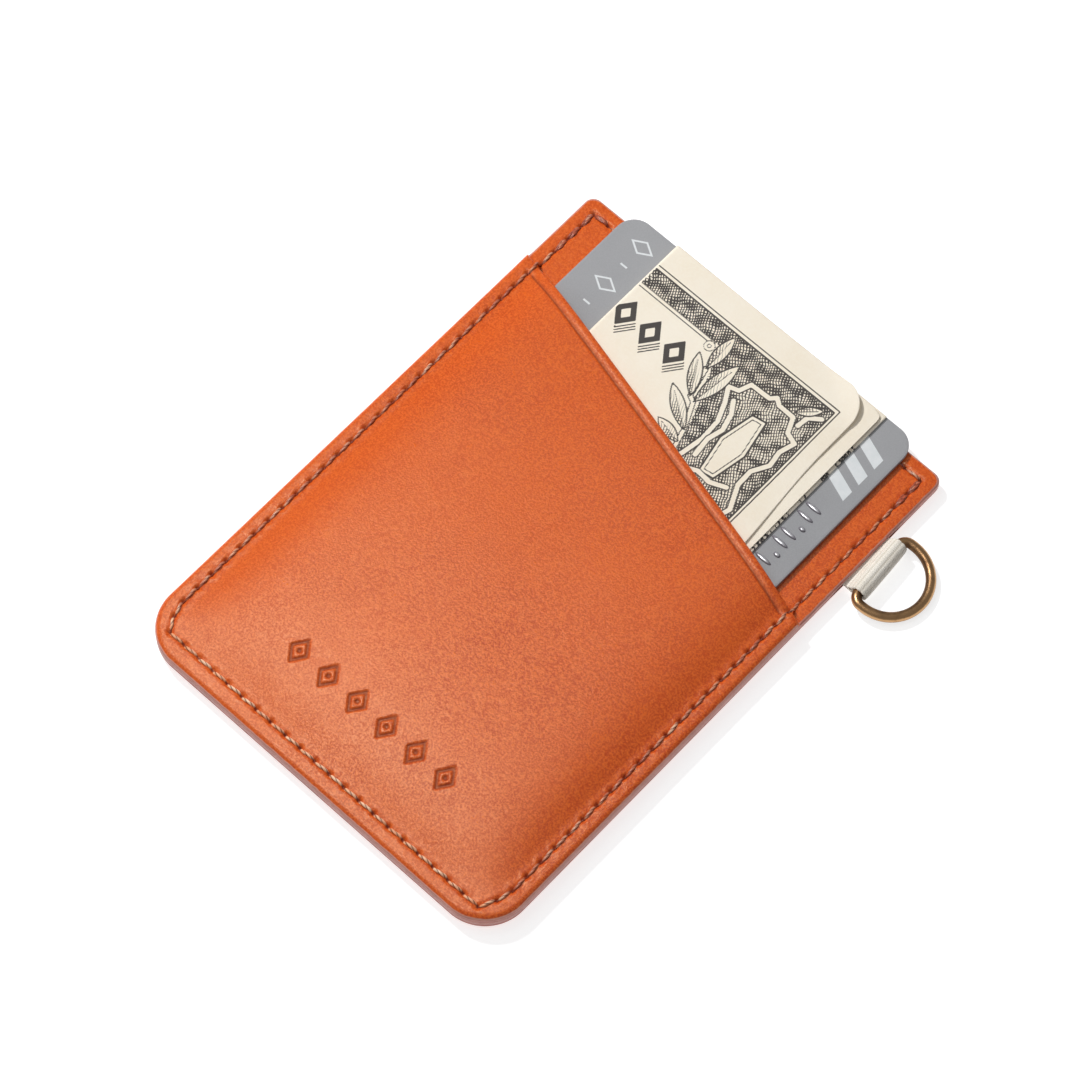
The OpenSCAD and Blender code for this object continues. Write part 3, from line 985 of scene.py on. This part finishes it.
def prisms(outlines, floor_z, top_z):
    """Upright solids over outlines of four corners, anticlockwise, or over frames, which are
    eight: four outer corners and then the four inner ones. Gives their points and faces."""
    count, corners = outlines.shape[:2]
    levels = np.broadcast_to([[floor_z], [top_z]], (count, 2, corners))[..., None]
    flat = np.broadcast_to(outlines[:, None], (count, 2, corners, 2))
    points = np.concatenate([flat, levels], -1)
    i = np.arange(4)
    j = (i + 1) % 4
    faces = [np.stack([i, j, j + corners, i + corners], 1)]
    if corners == 4:
        faces.append(np.array([[3, 2, 1, 0], [4, 5, 6, 7]]))
    else:
        faces += [np.stack([j + 4, i + 4, i + 12, j + 12], 1), np.stack([j, i, i + 4, j + 4], 1),
                  np.stack([i + 8, j + 8, j + 12, i + 12], 1)]
    faces = np.concatenate(faces)
    faces = 2 * corners * np.arange(count)[:, None, None] + faces
    return points.reshape(-1, 3), faces.reshape(-1, 4)


card_outline = round_corners(card_left, card_foot, card_right, card_head, card_corner)
card = plate("card_body", card_outline, card_under, card_top, card_edge, plastic_finish())
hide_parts("card_core")


def white_ink():
    """White screen-printing ink, a little uneven."""
    material, tree, shader = finish("card_ink", Roughness=0.4)
    white = tree.here().noise(900, 3).between(0.3, 0.7)
    feed(shader, "Base Color", white.mixed((0.73, 0.76, 0.77), (0.78, 0.80, 0.81)))
    return material


def card_printing():
    """The ink, as thin as a film: lozenge outlines and short dashes by turns down the left side,
    and three slanted slabs at the right. Gives its points and faces."""
    marks, mark_x, top_mark, mark_pitch = 14, 11.4, 91.0, 3.9
    centres = np.stack([np.full(marks, mark_x), top_mark - mark_pitch * np.arange(marks)], 1)
    lozenge = np.array([[-2.1, 0], [0, -1.25], [2.1, 0], [0, 1.25]])
    frames = np.concatenate([centres[::2, None] + lozenge, centres[::2, None] + lozenge * 0.74], 1)
    dash = np.array([[-0.6, -0.15], [0.6, -0.15], [0.6, 0.15], [-0.6, 0.15]])
    slab_left, slab_right, slab_wide, slant = 53.9, 58.6, 1.9, 1.7
    slab = np.array([[slab_right, 0], [slab_right, slab_wide],
                     [slab_left, slab_wide + slant], [slab_left, slant]])
    slabs = slab + np.array([[0, 80.6], [0, 83.9], [0, 87.2]])[:, None]
    film = (card_top - 0.02, card_top + 0.012)
    frame_points, frame_faces = prisms(frames, *film)
    block_points, block_faces = prisms(np.concatenate([centres[1::2, None] + dash, slabs]), *film)
    return (np.concatenate([frame_points, block_points]),
            [frame_faces, block_faces + len(frame_points)])


printing = piece("card_ornament", *card_printing(), white_ink(), smooth_faces=False)


def foil_finish():
    """Hot-foil on the pips: silver on top, and a violet-grey painted shade at the foot."""
    material, tree, shader = finish("pip_foil", Roughness=0.3)
    # Painted shade: violet-grey at the foot of each pip, under its silver foil top.
    top = (tree.kept("lift") + (tree.here().noise(1500, 3) - 0.5) * 0.5).between(0.35, 0.9)
    feed(shader, "Base Color", top.mixed((0.20, 0.185, 0.21), (0.72, 0.72, 0.74)))
    feed(shader, "Metallic", top * 0.7)
    return material


def pip_row():
    """Raised pips along the card's right side, two long ones and a short one by turns: half
    ellipsoids, each of rings that rise to one point at its top. Gives their points, faces,
    finish and how high on a pip each point is."""
    pips, rings, around = 20, 4, 14
    rise, turn = np.meshgrid(np.linspace(0, math.pi / 2, rings + 1)[:-1],
                             np.linspace(0, 2 * math.pi, around, endpoint=False), indexing="ij")
    dome = np.stack([np.cos(rise) * np.cos(turn), np.cos(rise) * np.sin(turn), np.sin(rise)], -1)
    dome = np.append(dome.reshape(-1, 3), [[0, 0, 1]], axis=0)
    number = np.arange(pips)
    long_one = number % 3 != 2
    half = np.stack([np.where(long_one, 1.45, 0.55), np.full(pips, 0.36), np.full(pips, 0.27)], 1)
    place = np.stack([np.where(long_one, 56.3, 57.3), 77.0 - 1.75 * number,
                      np.full(pips, card_top)], 1)
    points = place[:, None] + half[:, None] * dome
    grid = np.arange(rings * around).reshape(rings, around)
    grid = np.column_stack([grid, grid[:, 0]])
    tip = np.full(around, rings * around)
    cap = np.stack([grid[-1, :-1], grid[-1, 1:], tip], 1)
    first = len(dome) * number[:, None]
    faces = [(first[..., None] + f).reshape(-1, f.shape[-1]) for f in (quads_of(grid), cap)]
    base = first + grid[0, :-1][::-1]
    lift = np.append(np.repeat(np.linspace(0, 0.75, rings), around), 1)
    return points.reshape(-1, 3), [*faces, base], foil_finish(), {"lift": np.tile(lift, pips)}


pips = piece("card_pips", *pip_row())
chip_low, chip_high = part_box("card_chip")


def gold_finish():
    """Thin gold plating, brown in the cuts between the contacts."""
    material, tree, shader = finish("contact_gold", Metallic=1.0)
    at = tree.here()
    gold = at.noise(600, 3).mixed((0.80, 0.57, 0.26), (0.88, 0.68, 0.36))
    feed(shader, "Base Color", tree.kept("cut").mixed(gold, (0.2, 0.14, 0.06)))
    feed(shader, "Roughness", 0.25 + at.noise(900, 3) * 0.2)
    return material


def contact_plate():
    """The chip's plate: a grid whose rim is turned down, with contacts parted by cuts. In halves
    of its width and length, two cuts run along it at 0.42 to each side; beyond them it is cut
    across at 0 and 0.36, and between them at 0.62. A fan of triangles closes it below. Gives
    its points, faces, finish and how deep in a cut each point is."""
    (x0, y0, _), (x1, y1, _) = laid_out(chip_low), laid_out(chip_high)
    x, y = np.meshgrid(np.linspace(x0, x1, 61), np.linspace(y0, y1, 73))
    u, v = (x - x0) / (x1 - x0) * 2 - 1, (y - y0) / (y1 - y0) * 2 - 1
    beyond = np.abs(u) > 0.42
    side_cuts = np.minimum(np.abs(np.abs(v) - 0.36), np.abs(v))
    cuts = np.where(beyond, side_cuts, np.abs(v - 0.62))
    cut = 1 - smooth(np.minimum(np.abs(np.abs(u) - 0.42), cuts), 0.02, 0.05)
    to_rim = np.minimum(1 - np.abs(u), 1 - np.abs(v))
    z = card_top + 0.02 - 0.03 * cut - 0.25 * (1 - smooth(to_rim, 0, 0.03))
    numbers = np.arange(x.size).reshape(x.shape)
    around = ring_of((numbers[0], numbers[:, -1], numbers[-1], numbers[:, 0]))
    below = np.stack([np.roll(around, -1), around, np.full(len(around), x.size)], 1)
    points = np.append(np.stack([x, y, z], -1).reshape(-1, 3),
                       [[(x0 + x1) / 2, (y0 + y1) / 2, z[0, 0]]], axis=0)
    return points, [quads_of(numbers), below], gold_finish(), {"cut": np.append(cut, 0)}


chip = piece("card_chip_pads", *contact_plate())
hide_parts("card_chip")
for card_piece in (card, printing, pips, chip):
    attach(card_piece, "card")


def streaked_film(name, dark, light):
    """A film laid on the card's back: fine streaks along the card, and an uneven gloss."""
    film, tree, shader = finish(name, Roughness=0.4)
    at = tree.here()
    streaks = at.node("VectorMath", {"operation": "MULTIPLY"}, {0: at, 1: (1, 0.06, 1)})
    feed(shader, "Base Color", streaks.noise(2600, 3).between(0.3, 0.7).mixed(dark, light))
    feed(shader, "Roughness", 0.32 + at.noise(700, 3) * 0.25)
    return film


for node, dark, light in (("card_stripe", (0.012, 0.011, 0.012), (0.030, 0.028, 0.030)),
                          ("card_signature_strip", (0.62, 0.62, 0.60), (0.78, 0.78, 0.76))):
    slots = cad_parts[node].data.materials
    slots.clear()
    slots.append(streaked_film(node + "_film", dark, light))

# ---- Banknote -------------------------------------------------------------------------------
# One sheet of cream banknote paper, 156 by 66 mm, folded in half and in half again. It lies on
# the card, its open edges to the right; the front leaf's corner is worn round and curls up. Its
# engraving is an invented one: a frame, a hatched field, a sprig, ornaments and an empty shield.
note_low, note_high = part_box("banknote")
(fold_x, note_foot, note_under), (free_x, note_top, _) = laid_out(note_low), laid_out(note_high)
note_middle = (note_foot + note_top) / 2
paper_half = 0.052
frame_right, frame_top = 49.55, 90.2
field_right, field_top, field_foot = 49.05, 89.55, 86.6


def from_outline(x, y, *corners):
    """Distance outside a convex outline with those corners, anticlockwise; negative inside."""
    farthest = np.full(np.shape(x), -99.0)
    for (ax, ay), (bx, by) in zip(corners, np.roll(corners, -1, axis=0)):
        off = ((x - ax) * (by - ay) - (y - ay) * (bx - ax)) / math.hypot(bx - ax, by - ay)
        farthest = np.maximum(farthest, off)
    return farthest


def pen(distance, half):
    """How surely a point is on a drawn line: 0.5 at that half width, and more within."""
    return 1 - smooth(distance, half - 0.16, half + 0.16)


def leaf_shape(x, y, base, tip, half):
    """A pointed leaf from base to tip: how far along it a point lies, as a share t, how far off
    its midrib, and the leaf's half width there, which is half * sin(pi t)^0.8."""
    run = np.subtract(tip, base)
    reach = math.hypot(*run)
    t = ((x - base[0]) * run[0] + (y - base[1]) * run[1]) / reach ** 2
    off = ((x - base[0]) * -run[1] + (y - base[1]) * run[0]) / reach
    return t, off, half * np.sin(math.pi * np.clip(t, 0, 1)) ** 0.8


def engraving(x, y):
    """The front's ink at (x, y), in millimetres from the wallet's lower left corner: how closely
    it is hatched, and how surely it is on a solid line. The lower half mirrors the upper one.
    It is drawn in layers, each over the one before: a hatched field, a scalloped shield with an
    empty panel, strokes, a sprig, a rule with a curl, lozenges with shadow lines, a rosette and
    the frame's lines."""
    y = note_middle + np.abs(y - note_middle)
    tone, line = np.zeros(np.shape(x)), np.zeros(np.shape(x))

    def cleared(mask):
        tone[mask], line[mask] = 0, 0

    def drawn(distance, half, where=True):
        np.maximum(line, pen(distance, half) * where, out=line)

    wisps = smooth(uneven(x + 0.6 * y, y - 0.4 * x, 21, 2.4), -0.7, 0.9)
    rays = 0.5 + 0.5 * np.cos(11 * np.arctan2(y - 76.5, x - 41.6))
    field_left = np.interp(y, [61, 66, 70, 75, 80, 84, 86.4],
                           [38.5, 37.4, 36.6, 35.2, 33.0, 31.4, 30.4])
    field = (x < field_right) & (y < field_top) & ((y > field_foot) | (x > field_left))
    tone[field] = (0.50 + 0.36 * wisps)[field]
    shield = np.array([(36.0, 66.5), (37.5, 70.5), (38.1, 74.0), (37.9, 77.5), (36.7, 80.4),
                       (35.4, 82.6), (36.9, 83.1), (37.6, 85.0), (40.9, 85.1), (41.6, 85.9),
                       (42.6, 85.2), (45.3, 85.1), (46.3, 82.8), (48.1, 82.2), (47.4, 79.8),
                       (47.8, 77.4), (46.4, 74.9), (46.5, 72.2), (48.2, 68.6), (47.4, 65.8)])
    shield_left, shield_right = shield[:6], shield[13:][::-1]
    inside = ((x > np.interp(y, shield_left[:, 1], shield_left[:, 0])) & (y < 85.0)
              & (x < np.interp(y, shield_right[:, 1], shield_right[:, 0])))
    tone[inside] = (0.44 + 0.42 * rays * wisps)[inside]
    edge = from_line(x, y, *shield)
    cleared(edge < 0.40)
    drawn(np.abs(edge - 0.44), 0.10)
    panel_edge = from_outline(x, y, (41.0, 70.2), (43.3, 70.6), (44.3, 76.0), (43.1, 81.9),
                              (40.9, 81.5), (39.8, 76.0))
    cleared(panel_edge < 0.1)
    drawn(np.abs(panel_edge - 0.05), 0.14)
    drawn(np.abs(panel_edge + 0.55), 0.08)
    for stroke in (((38.4, 67.0), (39.3, 69.2), (41.0, 70.0), (43.3, 69.8), (45.6, 70.8)),
                   ((48.4, 87.6), (46.8, 86.4), (46.6, 84.6)),
                   ((39.0, 71.6), (38.7, 74.6), (39.3, 77.0), (38.6, 79.6), (37.4, 81.4))):
        away = from_line(x, y, *stroke)
        cleared(away < 0.40)
        drawn(np.abs(away - 0.44), 0.09)
    stem = from_line(x, y, (31.2, 82.6), (32.4, 77.9), (33.4, 77.4), (35.3, 73.4), (36.8, 68),
                     (37.2, 61))
    cleared(stem < 0.32)
    drawn(np.abs(stem - 0.34), 0.09)
    leaves = (((31.2, 82.6), (31.0, 89.0), 0.95), ((32.4, 77.9), (28.8, 83.9), 1.0),
              ((33.4, 77.6), (34.4, 86.0), 1.15), ((35.3, 73.4), (29.3, 77.7), 1.05),
              ((35.9, 71.4), (31.4, 72.4), 0.9), ((36.8, 68.0), (32.1, 67.4), 0.9),
              ((37.0, 66.0), (34.0, 62.6), 0.8), ((44.9, 85.9), (47.8, 88.7), 0.7))
    for base, tip, half in leaves:
        t, off, wide = leaf_shape(x, y, base, tip, half)
        on_leaf = (t > 0) & (t < 1) & (np.abs(off) < wide)
        cleared(on_leaf)
        shade = np.where(off > 0, 0.50, 0.16) * smooth(t, 1.05, 0.2) + 0.02
        tone[on_leaf] = shade[on_leaf]
        drawn(np.where((t > -0.02) & (t < 1.02), np.abs(np.abs(off) - wide), 9), 0.11)
        drawn(np.where((t > 0) & (t < 0.85), np.abs(off), 9), 0.07)
    rule = from_line(x, y, (fold_x - 20, 86.25), (29.2, 86.25))
    cleared(rule < 0.25)
    drawn(np.abs(rule - 0.28), 0.09)
    hook = np.abs(np.hypot(x - 29.15, y - 85.55) - 0.55)
    cleared(hook < 0.22)
    drawn(np.abs(hook - 0.26), 0.07)
    for cx in (17.0, 21.6, 26.2):
        for shift in (1.05, 0.72, 0.39, 0.0):
            dx, dy = np.abs(x - cx - shift * 0.8), np.abs(y - 81.4 + shift)
            shape = dx / 1.9 + dy / 2.5
            cleared(shape < 1.14)
            drawn(np.abs(shape - (0.95 if shift else 0.71)) * 1.6, 0.10 if shift else 0.44)
    rosette_x = 24
    away = np.hypot(x - rosette_x, y - note_middle)
    spin = np.arctan2(y - note_middle, x - rosette_x)
    for reach in (2.4, 3.9, 5.4, 6.9):
        for phase in (0, 2.1, 4.2):
            drawn(np.abs(away - reach - 0.9 * np.cos(12 * spin + phase)), 0.07, away < 9)
    top_line, right_line = np.abs(y - frame_top), np.abs(x - frame_right)
    drawn(np.where(x < frame_right + 0.05, top_line, 9), 0.10)
    drawn(np.where(y < frame_top + 0.1, right_line, 9), 0.10)
    top_line, right_line = np.abs(y - field_top), np.abs(x - field_right)
    drawn(np.where((y > field_foot) & (x < field_right + 0.05), top_line, 9), 0.12)
    drawn(np.where((y < field_top + 0.05) & (x > field_left), right_line, 9), 0.12)
    return tone, line


def note_finish():
    """Cream rag paper. Its ink is drawn as two crossing sets of fine wavy lines that thicken with
    the tone kept on the mesh, and run together to solid black at its top."""
    material, tree, shader = finish("note_paper", Roughness=0.75, Specular_IOR_Level=0.25)
    at = tree.here()
    ink = tree.kept("tone")
    line = tree.kept("line")
    wave = (at.noise(420, 2) - 0.5) * 0.0011
    rightward = at.node("SeparateXYZ", None, {"Vector": at})
    upward = at.node("SeparateXYZ", None, {"Vector": at}, 1)

    def ruled(share_x, share_y, pitch):
        turned = (rightward * share_x + upward * share_y + wave) * (1 / pitch)
        return (turned.maths("FRACT") - 0.5).maths("ABSOLUTE") * 2

    near = (ink * 0.86 - ruled(0.86, 0.50, 0.00038)).between(-0.14, 0.14)
    cross = (ink * 1.15 - 0.30 - ruled(0.62, -0.78, 0.00044)).between(-0.14, 0.14)
    hatched = near.maths("MAXIMUM", cross) * ink.between(0.05, 0.16)
    inked = hatched.maths("MAXIMUM", line.between(0.38, 0.60)) * 0.95
    cloth = at.noise(120, 4, 0.6).between(0.25, 0.75)
    cloth = cloth.mixed((0.960, 0.880, 0.745), (0.925, 0.830, 0.675))
    fibre = (at.noise(2400, 3).between(0.35, 0.7) * 0.25).mixed(cloth, (0.98, 0.92, 0.80))
    feed(shader, "Base Color", inked.mixed(fibre, (0.036, 0.031, 0.032)))
    bumped(shader, at.noise(1500, 4, 0.6) + inked * 0.25, 0.00003)
    return material


def worn_round(x, y, edge, radius, leaf):
    """A leaf's upper corner at edge, rubbed round: a square of that radius is drawn in to a
    quarter circle, each point by max(a, b) / |(a, b)| along its ray from the square's inner
    corner."""
    a = np.clip((x - (edge - radius)) / radius, 0, None) * leaf
    b = np.clip((y - (note_top - radius)) / radius, 0, None)
    inward = np.where((a > 0) & (b > 0), np.maximum(a, b) / np.maximum(np.hypot(a, b), 1e-9), 1)
    return (np.where(leaf, x - radius * a * (1 - inward), x),
            np.where(leaf, y - radius * b * (1 - inward), y))


def fold_line():
    """The sheet's path across its folds, as (x, z): from the front leaf's free edge to the left
    fold, back along the bottom leaf, round the right fold and, round an inner fold, out along
    the second leaf; each fold is a half circle. Gives the path and which points of it are on
    the front leaf and on the second one."""
    levels = note_under + np.array([0.83, 0.06, 0.30, 0.53])
    left_bend, right_bend, inner_bend = fold_x + 0.42, free_x + 0.42, fold_x + 0.55
    few = np.linspace(0, 1, 14)[1:-1]

    def fold(x, low_leaf, high_leaf, degrees):
        turn = np.radians(degrees)
        radius = (levels[high_leaf] - levels[low_leaf]) / 2
        middle_z = (levels[high_leaf] + levels[low_leaf]) / 2
        return np.column_stack([x + radius * np.cos(turn), middle_z + radius * np.sin(turn)])

    def leaf(x, z):
        return np.column_stack([x, np.full(len(x), z)])

    front = np.linspace(free_x - 0.75, left_bend, 226)
    shares = np.append(np.linspace(0, 0.98, 20)[1:] ** 0.6, [0.994, 0.998, 0.9992, 1])
    second = inner_bend + shares * (free_x + 0.15 - inner_bend)
    path = np.concatenate([
        leaf(front, levels[0]),
        fold(left_bend, 1, 0, np.linspace(90, 270, 9)[1:]),
        leaf(left_bend + few * (right_bend - left_bend), levels[1]),
        fold(right_bend, 1, 2, np.linspace(-90, 90, 9)),
        leaf(right_bend + few * (inner_bend - right_bend), levels[2]),
        fold(inner_bend, 2, 3, np.linspace(270, 90, 7)),
        leaf(second, levels[3])])
    number = np.arange(len(path))
    return path, number < len(front), number >= len(path) - len(second)


def note_sheet():
    """The folded sheet: its path across the folds, carried along the note. Both upper leaves have
    their free corner rubbed round, gape towards the open end, and the front one's corner curls
    up. Gives its printed side, its blank side, and the ink on the printed one."""
    path, front, second = fold_line()
    sparse_below = 59
    rows = np.concatenate([np.linspace(note_foot, sparse_below, 70, endpoint=False),
                           np.linspace(sparse_below, note_top, 210)])
    x = np.tile(path[:, 0], (len(rows), 1))
    z = np.tile(path[:, 1], (len(rows), 1))
    y = np.tile(rows[:, None], (1, len(path)))
    x, y = worn_round(x, y, free_x - 0.75, 4.6, front)
    x, y = worn_round(x, y, free_x + 0.12, 1.3, second)
    y = y - 0.25 * second
    x = np.where(front, fold_x + (x - fold_x) * (1 - 0.034 * smooth(y, 62, 84)), x)
    outer = smooth(x, fold_x + 6, free_x - 1)
    open_end = smooth(y, 76, 93)
    corner = smooth(0.55 * (x - free_x) + 0.85 * (y - note_top), -6.5, 0.5)
    lift = (0.03 + 0.15 * open_end) * outer ** 2 + 1.35 * corner
    lift = lift + 0.05 * uneven(x, y, 8, 24) * smooth(y, 60, 75)
    z = z + np.where(front, lift, 0) + np.where(second, 0.14 * outer ** 2 * smooth(y, 60, 80), 0)
    centres = np.stack([x, y, z], -1)
    normal = np.cross(np.gradient(centres, axis=1), np.gradient(centres, axis=0))
    normal /= np.linalg.norm(normal, axis=-1)[..., None]
    tone, line = engraving(x, y)
    tone[:, ~front], line[:, ~front] = 0, 0
    by_fold = (np.abs(path[:, 0] - free_x - 0.55) < 1.6) & ~front & ~second
    marks = (np.abs(y - note_middle) < 27) & (uneven(y, 3 * y, 4, 2.3) > 0.25)
    tone[:, by_fold] = np.where(marks, 0.85, 0)[:, by_fold]
    return centres - normal * paper_half, centres + normal * paper_half, {
        "tone": tone, "line": line}


def closed_sheet(name, printed, blank, layers, material):
    """A sheet with a finely divided printed side, a blank side with fewer points, and a rim of
    many-cornered faces that joins the two. The blank side keeps every third row and every third
    point of a row, and the last two of each."""
    rows, cols = printed.shape[:2]
    numbers = np.arange(rows * cols).reshape(rows, cols)
    keep_rows = np.unique(np.append(np.arange(0, rows, 3), [rows - 2, rows - 1]))
    keep_cols = np.unique(np.append(np.arange(0, cols, 3), [cols - 2, cols - 1]))
    back = blank[keep_rows][:, keep_cols]
    back_numbers = rows * cols + np.arange(back[..., 0].size).reshape(back.shape[:2])
    faces = [quads_of(numbers)[:, ::-1], quads_of(back_numbers)]

    def rim(fine, few, kept):
        for k in range(len(kept) - 1):
            span = fine[kept[k]:kept[k + 1] + 1]
            yield np.concatenate([span, [few[k + 1], few[k]]])

    edges = [*rim(numbers[0], back_numbers[0], keep_cols),
             *(r[::-1] for r in rim(numbers[-1], back_numbers[-1], keep_cols)),
             *(r[::-1] for r in rim(numbers[:, 0], back_numbers[:, 0], keep_rows)),
             *rim(numbers[:, -1], back_numbers[:, -1], keep_rows)]
    for size in sorted({len(e) for e in edges}):
        faces.append(np.array([e for e in edges if len(e) == size]))
    points = np.concatenate([printed.reshape(-1, 3), back.reshape(-1, 3)])
    blanks = np.zeros(back[..., 0].size)
    layers = {key: np.concatenate([values.ravel(), blanks]) for key, values in layers.items()}
    return piece(name, points, faces, material, layers)


note = closed_sheet("folded_note", *note_sheet(), note_finish())
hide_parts("banknote")
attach(note, "note")

def numbers(box):
    return [[float(c) for c in corner] for corner in box]
